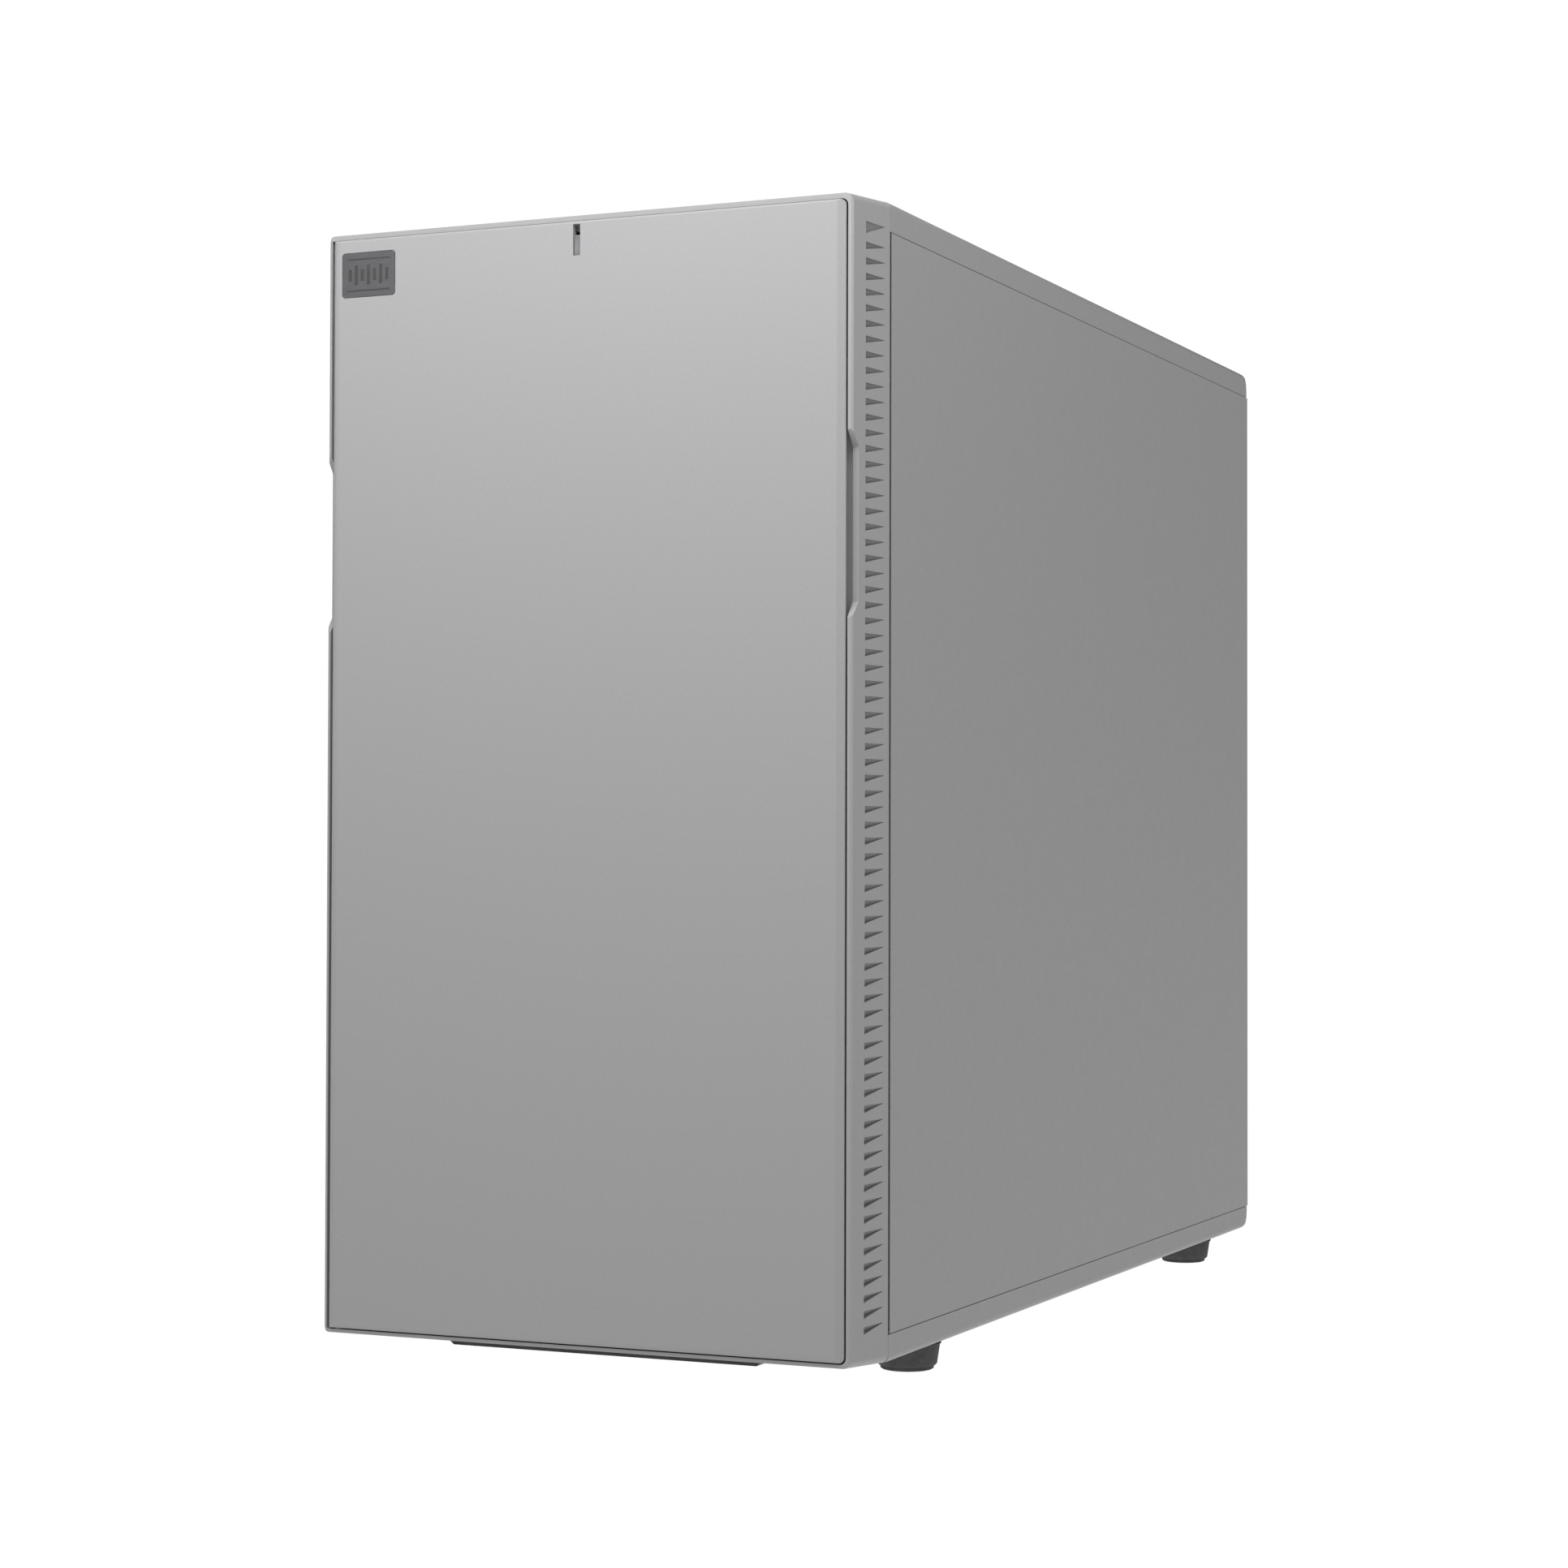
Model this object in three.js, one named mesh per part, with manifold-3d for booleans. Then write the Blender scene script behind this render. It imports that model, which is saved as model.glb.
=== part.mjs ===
// Desktop computer tower, in millimetres. +Z is up, the door faces -Y, the feet stand on z = 0.
import * as THREE from "three";
import { mergeVertices } from "three/addons/utils/BufferGeometryUtils.js";
import Module from "manifold-3d";

const wasm = await Module();
wasm.setup();

// Case
const bodyWidth = 234;
const bodyHeight = 440;
const bodyDepth = 519;
const footHeight = 11;
const doorForward = 2;
const screwReach = 7;
const sheet = 1.2;
const gap = 0.3;
const cornerRadius = 8;
const topEdgeRadius = 2.5;
const bottomEdgeRadius = 2.5;
const stripHeight = 10.6;

// Front
const bezelDepth = 29;
const bezelSideTaper = 3;
const bezelEndTaper = 1.6;
const bezelCorner = 3.5;
const rimSide = 2;
const pocketCorner = 2.5;
const pocketClip = 0.3;
const doorGap = 0.8;
const hingeGap = 0.6;
const topGap = 0.35;
const doorThickness = 8;
const doorChamfer = 2.8;
const doorTopChamfer = 0.8;
const doorCorner = 2.2;
const doorClip = 0.8;
const doorLip = 2.8;
const doorLipReach = 3.7;
const pinReach = 1.25;
const pinHoleDepth = 1.1;
const louvreCount = 71;
const louvrePitch = 5.88;
const louvreHeight = 2.9;
const firstLouvreHeight = 4.8;
const louvreLength = 14.5;
const louvreDepth = 3;
const notchLow = 291;
const notchHigh = 361;
const notchSlope = 6;
const notchDepth = 5;

// Bottom filter and feet
const filterHalf = 70;
const filterThickness = 3.1;
const footX = 102;
const footFrontY = -176;
const footRearY = 195;

// Places that follow from the sizes above
const halfWidth = bodyWidth / 2;
const front = -(bodyDepth + screwReach - doorForward) / 2;
const back = front + bodyDepth;
const low = footHeight;
const high = footHeight + bodyHeight;
const bezelBack = front + bezelDepth;
const panelLow = low + stripHeight + gap;
const panelHigh = high - stripHeight - gap - 0.9;
const doorFace = front - doorForward;
const doorBack = doorFace + doorThickness;
const rimHalf = halfWidth - bezelSideTaper - rimSide;
const doorRight = rimHalf - doorGap;
const doorLeft = -rimHalf + hingeGap;
const rimLow = low + 3;
const rimHigh = high - 3.6;
const doorLow = rimLow + 0.5;
const doorHigh = rimHigh - topGap;
const hingeRadius = doorThickness / 2;
const hingeX = doorLeft + hingeRadius;
const hingeY = doorFace + hingeRadius;
const frontWall = doorBack + 0.6;
const frontWallBack = frontWall + 3;
const chassisFront = bezelBack + gap;
const floorTop = low + sheet;

// A closed surface as a solid that can be joined and cut.
function solid(geometry) {
  const bare = geometry.clone();
  bare.deleteAttribute("normal");
  bare.deleteAttribute("uv");
  const merged = mergeVertices(bare, 1e-4);
  const mesh = new wasm.Mesh({
    numProp: 3,
    vertProperties: merged.attributes.position.array,
    triVerts: new Uint32Array(merged.index.array),
  });
  return new wasm.Manifold(mesh);
}

function block(x0, x1, y0, y1, z0, z1) {
  const box = new THREE.BoxGeometry(x1 - x0, y1 - y0, z1 - z0);
  box.translate((x0 + x1) / 2, (y0 + y1) / 2, (z0 + z1) / 2);
  return solid(box);
}

// A round rod along one axis about its middle; tip is the radius of its positive end.
function rod(axis, radius, length, x, y, z, facets = 24, tip = radius) {
  const round = new THREE.CylinderGeometry(tip, radius, length, facets);
  if (axis === "x") round.rotateZ(-Math.PI / 2);
  if (axis === "z") round.rotateX(Math.PI / 2);
  round.translate(x, y, z);
  return solid(round);
}

function pulled(points, depth) {
  const shape = new THREE.Shape(points.map(([a, b]) => new THREE.Vector2(a, b)));
  return new THREE.ExtrudeGeometry(shape, { depth, bevelEnabled: false, steps: 1 });
}

// A profile in X and Y, pulled up from z0 to z1.
function plan(points, z0, z1) {
  const shape = pulled(points, z1 - z0);
  shape.translate(0, 0, z0);
  return solid(shape);
}

// A profile in Y and Z, pulled across from x0 to x1.
function side(points, x0, x1) {
  const shape = pulled(points, x1 - x0);
  const turn = new THREE.Matrix4().set(0, 0, 1, x0, 1, 0, 0, 0, 0, 1, 0, 0, 0, 0, 0, 1);
  shape.applyMatrix4(turn);
  return solid(shape);
}

// A profile in X and Z, pulled back from y0 to y1.
function elevation(points, y0, y1) {
  const shape = pulled(points, y1 - y0);
  shape.rotateX(Math.PI / 2);
  shape.translate(0, y1, 0);
  return solid(shape);
}

// A profile in X and Z, pulled back from y0 to y1, with its front end shrunk about a middle height.
function tapered(points, y0, y1, middle, shrinkX, shrinkZ) {
  const shape = pulled(points, y1 - y0);
  shape.rotateX(Math.PI / 2);
  shape.translate(0, y1, 0);
  const at = shape.getAttribute("position");
  for (let i = 0; i < at.count; i++) {
    if (at.getY(i) > (y0 + y1) / 2) continue;
    at.setX(i, at.getX(i) * shrinkX);
    at.setZ(i, middle + (at.getZ(i) - middle) * shrinkZ);
  }
  return solid(shape);
}

// The corners of a rectangle with rounded corners, as a profile.
function rounded(a0, a1, b0, b1, r, steps = 4) {
  const corners = [
    [a1 - r, b1 - r],
    [a0 + r, b1 - r],
    [a0 + r, b0 + r],
    [a1 - r, b0 + r],
  ];
  return corners.flatMap(([a, b], quarter) => {
    const points = [];
    for (let i = 0; i <= steps; i++) {
      const angle = ((quarter + i / steps) * Math.PI) / 2;
      points.push([a + r * Math.cos(angle), b + r * Math.sin(angle)]);
    }
    return points;
  });
}

// A rectangle rounded at its right corners only, and clipped a little at its left ones.
function roundedAtRight(a0, a1, b0, b1, r, clip) {
  const all = rounded(a0, a1, b0, b1, r);
  return [
    ...all.slice(0, 5),
    [a0 + clip, b1],
    [a0, b1 - clip],
    [a0, b0 + clip],
    [a0 + clip, b0],
    ...all.slice(15),
  ];
}

function joined(pieces) {
  return pieces.reduce((whole, piece) => whole.add(piece));
}

function cut(whole, pieces) {
  return pieces.reduce((rest, piece) => rest.subtract(piece), whole);
}

// Colour, roughness and metalness of each real material.
const finishes = {
  palePlastic: [0x9c9c9e, 0.55, 0],
  paleSteel: [0x99999b, 0.5, 0.1],
  blackPlastic: [0x1d1d1f, 0.6, 0],
  blackSteel: [0x26272a, 0.5, 0.3],
  foam: [0x2c2c2e, 0.95, 0],
  rubber: [0x3a3a3b, 0.85, 0],
  circuit: [0x1f3a2c, 0.6, 0],
  aluminium: [0xb9bcc0, 0.35, 0.9],
  bareSteel: [0xa9abae, 0.4, 0.8],
  badge: [0x7d7d7e, 0.35, 0.6],
  lens: [0x747475, 0.3, 0],
};

const tower = new THREE.Group();
tower.name = "desktop_tower";

function group(name) {
  const made = new THREE.Group();
  made.name = name;
  tower.add(made);
  return made;
}

// Adds one named piece to a group, at an optional place and turn.
function piece(parent, name, made, finish, place = [0, 0, 0], turn = [0, 0, 0]) {
  const { numProp, vertProperties, triVerts } = made.getMesh();
  const positions = new Float32Array((vertProperties.length / numProp) * 3);
  for (let i = 0; i * numProp < vertProperties.length; i++) {
    positions.set(vertProperties.subarray(i * numProp, i * numProp + 3), i * 3);
  }
  const geometry = new THREE.BufferGeometry();
  geometry.setAttribute("position", new THREE.BufferAttribute(positions, 3));
  geometry.setIndex(new THREE.BufferAttribute(new Uint32Array(triVerts), 1));
  geometry.computeVertexNormals();
  const [color, roughness, metalness] = finishes[finish];
  const material = new THREE.MeshStandardMaterial({ color, roughness, metalness, flatShading: true });
  material.name = finish;
  const mesh = new THREE.Mesh(geometry, material);
  mesh.name = name;
  mesh.position.set(...place);
  mesh.rotation.set(...turn);
  parent.add(mesh);
}

// ---- Chassis ----
const chassis = group("chassis");

// The base tray's slots sit over the bottom filter, and its two rails hold that filter.
const rearRound = cornerRadius;
const insideRound = cornerRadius - sheet;
const bottomProfile = (y0, y1, z0, z1, r) => [
  [y0, z0],
  ...rounded(y0, y1, z0, z1 + r, r).slice(-5),
  [y1, z1],
  [y0, z1],
];
const lowerEdges = (half, z0, z1, r) => [
  ...rounded(-half, half, z0, z1, r).slice(10),
  [half, z1],
  [-half, z1],
];
const slack = 0.03;
const trayHigh = low + stripHeight;
const baseOuter = side(
  bottomProfile(chassisFront, back, low, trayHigh, rearRound),
  -halfWidth - 1,
  halfWidth + 1,
).intersect(
  elevation(lowerEdges(halfWidth, low - slack, trayHigh + 9, bottomEdgeRadius), chassisFront - 1, back + 1),
);
const insideHalf = halfWidth - sheet;
const insideEdge = bottomEdgeRadius - sheet;
const baseInner = side(
  bottomProfile(chassisFront + sheet, back - sheet, floorTop, trayHigh + 1, insideRound),
  -halfWidth,
  halfWidth,
).intersect(
  elevation(lowerEdges(insideHalf, floorTop - slack, trayHigh + 9, insideEdge), chassisFront, back),
);
const floorSlots = [];
const floorSlotPitch = 12;
const floorSlotWidth = 6;
const floorSlotRows = [
  [-55, 60, 117],
  [-60, 60, -190],
];
for (let i = 0; i < 10; i++) {
  for (const [x0, x1, start] of floorSlotRows) {
    const y = start + i * floorSlotPitch;
    floorSlots.push(block(x0, x1, y, y + floorSlotWidth, low - 1, floorTop + 1));
  }
}
const psuLift = 24.7;
const railEnds = [-200, 235];
const baseRibs = [-60, 70].map((x) => block(x, x + 10, 100, 250, low + 0.5, psuLift));
const filterLow = low - gap - filterThickness;
const rails = [-1, 1].flatMap((way) => {
  const wall = [way * (filterHalf + 0.4), way * (filterHalf + 3.4)].sort((a, b) => a - b);
  const lip = [way * (filterHalf - 2.5), way * (filterHalf + 3.4)].sort((a, b) => a - b);
  return [
    block(...wall, ...railEnds, filterLow - 1.3, low + 0.5),
    block(...lip, ...railEnds, filterLow - 1.4, filterLow - gap),
  ];
});
const baseTray = joined([cut(baseOuter.subtract(baseInner), floorSlots), ...baseRibs, ...rails]);
piece(chassis, "base_tray", baseTray, "paleSteel");

// Feet are turned about their own upright axis.
const footProfile = [
  [0, 0],
  [10.2, 0],
  [11.3, 0.7],
  [11.8, 1.9],
  [13.5, footHeight - gap],
  [0, footHeight - gap],
].map(([r, z]) => new THREE.Vector2(r, z));
const footTurned = new THREE.LatheGeometry(footProfile, 20);
footTurned.rotateX(Math.PI / 2);
const footSolid = solid(footTurned);
const feet = [
  ["foot_front_left", -footX, footFrontY],
  ["foot_front_right", footX, footFrontY],
  ["foot_rear_left", -footX, footRearY],
  ["foot_rear_right", footX, footRearY],
];
feet.forEach(([name, x, y]) => piece(chassis, name, footSolid, "rubber", [x, y, 0]));

// The top cover, its front port cut-out and its two fan openings
const portX = 58;
const portY = [front + 37, front + 55];
const fanOpenings = [
  [-165, -25],
  [10, 150],
];
const openHalf = 72;
const topProfile = (y0, y1, z0, z1, r) => [
  [y0, z0],
  [y1, z0],
  ...rounded(y0, y1, z0 - r, z1, r).slice(0, 5),
  [y0, z1],
];
const topLow = high - stripHeight - 0.9;
const upperEdges = (half, z0, z1, r) => [
  ...rounded(-half, half, z0, z1, r).slice(0, 10),
  [-half, z0],
  [half, z0],
];
const topSheet = 1.6;
const topOuter = side(
  topProfile(chassisFront, back, topLow, high, rearRound),
  -halfWidth - 1,
  halfWidth + 1,
).intersect(
  elevation(upperEdges(halfWidth, topLow - 9, high + slack, topEdgeRadius), chassisFront - 1, back + 1),
);
const topInside = high - topSheet;
const topInner = side(
  topProfile(chassisFront + sheet, back - sheet, topLow - 1, topInside, insideRound),
  -halfWidth,
  halfWidth,
).intersect(
  elevation(upperEdges(insideHalf, topLow - 9, topInside + slack, topEdgeRadius - sheet), chassisFront, back),
);
const topHoles = fanOpenings.map(([y0, y1]) => block(-openHalf, openHalf, y0, y1, high - 3, high + 1));
topHoles.push(plan(rounded(-portX, portX, ...portY, 3), high - 3, high + 1));
piece(chassis, "top_cover", cut(topOuter, [topInner, ...topHoles]), "paleSteel");

const topFrameLow = topLow - 2.5;
fanOpenings.forEach(([y0, y1], i) => {
  const lid = block(-openHalf + gap, openHalf - gap, y0 + gap, y1 - gap, high - 1.5, high - 0.2);
  const plug = block(-openHalf + 5, openHalf - 5, y0 + 5, y1 - 5, topFrameLow + sheet + gap, high - 1.4);
  const name = i ? "top_vent_cover_rear" : "top_vent_cover_front";
  piece(chassis, name, lid.add(plug), "paleSteel");
});

const innerHalf = 110;
const topFrameHoles = fanOpenings.map(([y0, y1]) =>
  rod("z", 65, 10, 0, (y0 + y1) / 2, topFrameLow, 32),
);
const topFrame = block(
  -innerHalf,
  innerHalf,
  chassisFront + 3.1,
  back - 1.7,
  topFrameLow,
  topFrameLow + sheet,
);
piece(chassis, "top_frame", cut(topFrame, topFrameHoles), "blackSteel");

// Front frame: one opening for the drive bays and two for fans
const bayHalf = 74.3;
const bayLow = 345.5;
const bayHigh = 431.5;
const frontFanZ = [130, 275];
const frameLow = floorTop + gap;
const frameHigh = topFrameLow - gap;
const frontFrameY = chassisFront + 1.6;
const frontFrame = block(-innerHalf, innerHalf, frontFrameY, frontFrameY + sheet, frameLow, frameHigh);
const frontFrameCuts = frontFanZ.map((z) => rod("y", 66, 20, 0, chassisFront, z, 32));
frontFrameCuts.push(block(-bayHalf, bayHalf, front, chassisFront + 9, bayLow, bayHigh));
piece(chassis, "front_frame", cut(frontFrame, frontFrameCuts), "blackSteel");

// Board tray, with a window behind the processor and three cable holes
const trayX = 88;
const trayCuts = [block(80, 95, 125, 215, 295, 400)];
for (const z of [140, 230, 330]) {
  trayCuts.push(side(rounded(-32, -6, z, z + 62, 8), 80, 95));
}
const boardTray = block(trayX, trayX + sheet, -70, back - 9, frameLow, frameHigh);
piece(chassis, "motherboard_tray", cut(boardTray, trayCuts), "blackSteel");

// Rear panel
const rearIn = back - 1.4;
const slotPitch = 20.32;
const cardZ = 231;
const ioHole = [36.5, 80.5, 268, 427];
const psuBox = [-66, 84, 95, back - 1.8, 25, 111];
const rearFan = [-32, 350];
const fanRadius = 66;
const rearCuts = [
  block(psuBox[0] + 3, psuBox[1] - 3, rearIn - 5, back + 5, psuBox[4] + 3, psuBox[5] - 3),
  block(ioHole[0], ioHole[1], rearIn - 5, back + 5, ioHole[2], ioHole[3]),
];
for (let i = 0; i < 7; i++) {
  const z = cardZ - 5.5 - i * slotPitch;
  if (z > 115) rearCuts.push(block(-26, 74, rearIn - 5, back + 5, z, z + 13));
}
for (let i = -7; i <= 7; i++) {
  const across = i * 8.6;
  const tall = Math.sqrt(fanRadius ** 2 - across ** 2) - 1;
  const x = rearFan[0] + across;
  rearCuts.push(block(x - 3, x + 3, rearIn - 5, back + 5, rearFan[1] - tall, rearFan[1] - 2));
  rearCuts.push(block(x - 3, x + 3, rearIn - 5, back + 5, rearFan[1] + 2, rearFan[1] + tall));
}
const screwX = 106;
const screwZ = [60, 400];
for (const z of screwZ) {
  rearCuts.push(rod("y", 2.6, 20, screwX, back, z, 12));
  rearCuts.push(rod("y", 2.6, 20, -screwX, back, z, 12));
}
const rearPanel = block(-innerHalf, innerHalf, rearIn, back, panelLow, panelHigh);
piece(chassis, "rear_panel", cut(rearPanel, rearCuts), "paleSteel");

// Blanks behind the unused card slots, held on one folded strip
const blankSlots = [2, 3, 4, 5].map((i) => cardZ - 5.5 - i * slotPitch);
const blankLow = Math.min(...blankSlots) - 2;
const blankHigh = Math.max(...blankSlots) + 15;
const blanks = blankSlots.map((z) => block(-30, 78, rearIn - 1.4, rearIn - 0.3, z - 2, z + 15));
blanks.push(block(-32, -28, rearIn - 6, rearIn - 0.3, blankLow, blankHigh));
piece(chassis, "slot_blanks", joined(blanks), "bareSteel");

// ---- Front bezel ----
const bezel = group("bezel");
const bezelFront = halfWidth - bezelSideTaper;
const hingeSideLand = 0.3;
const bezelPlan = [
  [-rimHalf - hingeSideLand, front],
  [bezelFront - 0.8, front],
  [bezelFront, front + 0.8],
  [halfWidth, bezelBack],
  [-halfWidth, bezelBack],
  [-bezelFront, front + 1.8],
];
const bezelSide = [
  [front, low + bezelEndTaper],
  [bezelBack, low],
  [bezelBack, high],
  [front, high - bezelEndTaper],
];
const outlineSlack = 0.12;
const outlineHalf = halfWidth + outlineSlack;
const outlineTall = bodyHeight / 2 + outlineSlack;
const middleZ = (low + high) / 2;
const bezelOutline = tapered(
  rounded(-outlineHalf, outlineHalf, middleZ - outlineTall, middleZ + outlineTall, bezelCorner, 6),
  front - 0.5,
  bezelBack + 0.5,
  middleZ,
  1 - (bezelSideTaper + outlineSlack) / outlineHalf,
  1 - (bezelEndTaper + outlineSlack) / outlineTall,
);
const bezelWedge = plan(bezelPlan, low - 1, high + 1).intersect(
  side(bezelSide, -halfWidth - 1, halfWidth + 1),
);
const bezelBlock = bezelWedge.intersect(bezelOutline);
const rearHollow = [
  [-rimHalf - 0.4, frontWallBack],
  [rimHalf + 0.4, frontWallBack],
  [halfWidth - 2.6, bezelBack + 1],
  [-halfWidth + 2.6, bezelBack + 1],
];
const filterX = 80;
const filterZ = [30, 335];
const sliderX = 93;
const sliderZ = 405;
const sliderTravel = 15;
const bezelCuts = [
  elevation(roundedAtRight(-rimHalf, rimHalf, rimLow, rimHigh, pocketCorner, pocketClip), front - 1, frontWall),
  plan(rearHollow, low + 2.6, high - 2.6),
  block(-bayHalf, bayHalf, front, bezelBack, bayLow, bayHigh),
  block(-filterX, filterX, front, bezelBack, ...filterZ),
  block(sliderX - 2.8, sliderX + 2.8, front, bezelBack, sliderZ - 21, sliderZ + 21),
];
const notch = [
  [front - 1, notchLow - notchSlope / notchDepth],
  [front - 1, notchHigh + notchSlope / notchDepth],
  [front + notchDepth, notchHigh - notchSlope],
  [front + notchDepth, notchLow + notchSlope],
];
bezelCuts.push(side(notch, -halfWidth - 1, halfWidth + 1));
const pinRadius = 1.5;
const pinHoleRadius = 1.65;
bezelCuts.push(rod("z", pinHoleRadius, 2 * pinHoleDepth, hingeX, hingeY, rimHigh, 16));
bezelCuts.push(rod("z", pinHoleRadius, 2 * pinHoleDepth, hingeX, hingeY, rimLow, 16));
// Each louvre is a scoop: deepest, and open, at its front end, and flush at its rear end.
const louvreFront = frontWallBack + 0.5;
const louvreRear = louvreFront + louvreLength;
const louvreTeeth = [];
for (let i = 0; i < louvreCount; i++) {
  const foot = panelHigh - 0.7 - louvreHeight - i * louvrePitch;
  const top = foot + (i ? louvreHeight : firstLouvreHeight);
  const tooth = [
    [louvreFront, top],
    [louvreFront, foot],
    [louvreRear, top - 0.15],
    [louvreRear, top],
  ];
  louvreTeeth.push(side(tooth, -halfWidth - 1, halfWidth + 1));
}
const teeth = joined(louvreTeeth);
const sideSlope = bezelSideTaper / (bezelDepth - 0.8);
const wallAt = (y) => bezelFront + (y - front - 0.8) * sideSlope;
for (const way of [-1, 1]) {
  const scoop = [
    [way * (halfWidth + 2), louvreFront - 1],
    [way * (halfWidth + 2), louvreRear + 1],
    [way * (wallAt(louvreRear) - 0.1), louvreRear + 1],
    [way * (wallAt(louvreFront) - louvreDepth), louvreFront - 1],
  ];
  bezelCuts.push(teeth.intersect(plan(scoop, low, high)));
}
piece(bezel, "front_bezel", cut(bezelBlock, bezelCuts), "palePlastic");

// Bay covers are shallow trays, open at the back.
const coverSplit = (bayLow + bayHigh) / 2;
const bayCovers = [
  ["bay_cover_lower", bayLow + gap, coverSplit - gap / 2],
  ["bay_cover_upper", coverSplit + gap / 2, bayHigh - gap],
];
for (const [name, z0, z1] of bayCovers) {
  const tray = block(-bayHalf + gap, bayHalf - gap, frontWall + 0.2, frontWall + 14, z0, z1);
  const hollow = block(-bayHalf + 2.5, bayHalf - 2.5, frontWall + 2.7, frontWall + 15, z0 + 2.2, z1 - 2.2);
  piece(bezel, name, tray.subtract(hollow), "blackPlastic");
}

// Front filter cover: a slatted frame over the intake
const slats = [];
const slatPitch = 18.2;
const slatOpening = 12;
for (let i = 0; i < 16; i++) {
  const z = filterZ[0] + 9 + i * slatPitch;
  slats.push(block(-filterX + 8, -3, front, bezelBack, z, z + slatOpening));
  slats.push(block(3, filterX - 8, front, bezelBack, z, z + slatOpening));
}
const filterFrame = block(
  -filterX + gap,
  filterX - gap,
  frontWall + 0.2,
  frontWall + 6,
  filterZ[0] + gap,
  filterZ[1] - gap,
);
piece(bezel, "front_filter_cover", cut(filterFrame, slats), "blackPlastic");

// ---- Door ----
const door = group("door");
const hingeArc = [];
for (let i = 0; i <= 8; i++) {
  const angle = Math.PI / 2 + (i * Math.PI) / 8;
  hingeArc.push([hingeX + hingeRadius * Math.cos(angle), hingeY + hingeRadius * Math.sin(angle)]);
}
const doorPlan = [
  ...hingeArc,
  [doorRight - doorChamfer, doorFace],
  [doorRight, front],
  [doorRight, doorFace + doorLip],
  [doorRight - doorLipReach, doorFace + doorLip],
  [doorRight - doorLipReach, doorBack],
];
const doorSide = [
  [doorFace, doorLow + doorChamfer],
  [front, doorLow],
  [doorBack, doorLow],
  [doorBack, doorHigh],
  [doorFace + doorTopChamfer, doorHigh],
  [doorFace, doorHigh - doorTopChamfer],
];
const doorSkin = 3;
const doorWall = 3.5;
const doorOutline = elevation(
  roundedAtRight(doorLeft - slack, doorRight + slack, doorLow - slack, doorHigh + slack, doorCorner, doorClip),
  doorFace - 1,
  doorBack + 1,
);
const doorWedge = plan(doorPlan, low, high).intersect(side(doorSide, -halfWidth, halfWidth));
const doorHollowX = [hingeX + 5.2, doorRight - doorLipReach - 2.5];
const badgeX = [-106, -82];
const badgeZ = [424, 441.5];
const badgeMargin = 0.2;
const badgeCorner = 1.2;
const badgePocket = rounded(
  badgeX[0] - badgeMargin,
  badgeX[1] + badgeMargin,
  badgeZ[0] - badgeMargin,
  badgeZ[1] + badgeMargin,
  badgeCorner + badgeMargin,
);
const lightX = [-2.5, 0.6];
const lightZ = [doorHigh - 13.4, doorHigh - 1.3];
const doorCuts = [
  block(...doorHollowX, doorFace + doorSkin, doorBack + 1, doorLow + doorWall, doorHigh - doorWall),
  elevation(badgePocket, doorFace - 1, doorFace + 1),
  block(...lightX, doorFace - 1, doorFace + doorSkin + 1, ...lightZ),
];
const pins = [doorHigh, doorLow].map((z) => rod("z", pinRadius, 2 * pinReach, hingeX, hingeY, z, 16));
piece(door, "front_door", joined([cut(doorWedge.intersect(doorOutline), doorCuts), ...pins]), "palePlastic");

const doorPad = block(
  doorHollowX[0] + gap,
  doorHollowX[1] - gap,
  doorFace + doorSkin + gap,
  doorBack - gap,
  doorLow + doorWall + gap,
  doorHigh - doorWall - gap,
);
const padSlot = block(lightX[0] - 2.5, lightX[1] + 2.5, doorFace, doorBack + 1, lightZ[0] - 3, doorHigh);
piece(door, "door_pad", doorPad.subtract(padSlot), "foam");
const badgePlate = elevation(rounded(...badgeX, ...badgeZ, badgeCorner), doorFace, doorFace + 0.7);
piece(door, "badge_plate", badgePlate, "badge");
const light = block(
  lightX[0] + 0.2,
  lightX[1] - 0.2,
  doorFace + 0.9,
  doorBack - 0.6,
  lightZ[0] + 0.2,
  lightZ[0] + 8,
);
piece(door, "light_pipe", light, "lens");

// ---- Side panels ----
const panelFront = bezelBack + 2;
const flangeOut = back + 1.5;
const rimIn = 6;
for (const way of [-1, 1]) {
  const name = way < 0 ? "left" : "right";
  const panels = group(name + "_panel");
  const span = (a, b) => [way * a, way * b].sort((m, n) => m - n);
  const pan = block(...span(halfWidth - rimIn, halfWidth), panelFront, flangeOut, panelLow, panelHigh);
  const inside = block(
    ...span(halfWidth - rimIn - 1, halfWidth - 1),
    panelFront + sheet,
    back + gap,
    panelLow + sheet,
    panelHigh - sheet,
  );
  const behind = block(...span(0, innerHalf + 0.4), 0, back + gap, low, high);
  const flange = block(...span(101, halfWidth), back + gap, flangeOut, panelLow, panelHigh);
  const holes = screwZ.map((z) => rod("y", 2.6, 20, way * screwX, back, z, 12));
  const made = cut(pan.subtract(inside).subtract(behind).add(flange), holes);
  piece(panels, name + "_side_panel", made, "paleSteel");

  const padMargin = 7;
  const pad = block(
    ...span(halfWidth - 4.6, halfWidth - 1.3),
    panelFront + padMargin,
    back - padMargin,
    panelLow + padMargin,
    panelHigh - padMargin,
  );
  piece(panels, name + "_panel_pad", pad, "foam");

  screwZ.forEach((z, i) => {
    const head = rod("y", 5.4, 5.2, way * screwX, flangeOut + gap + 2.6, z, 20);
    const shank = rod("y", 2, 10, way * screwX, flangeOut + gap - 4.8, z, 12);
    piece(panels, name + "_thumbscrew_" + (i ? "upper" : "lower"), head.add(shank), "bareSteel");
  });
}

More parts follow.
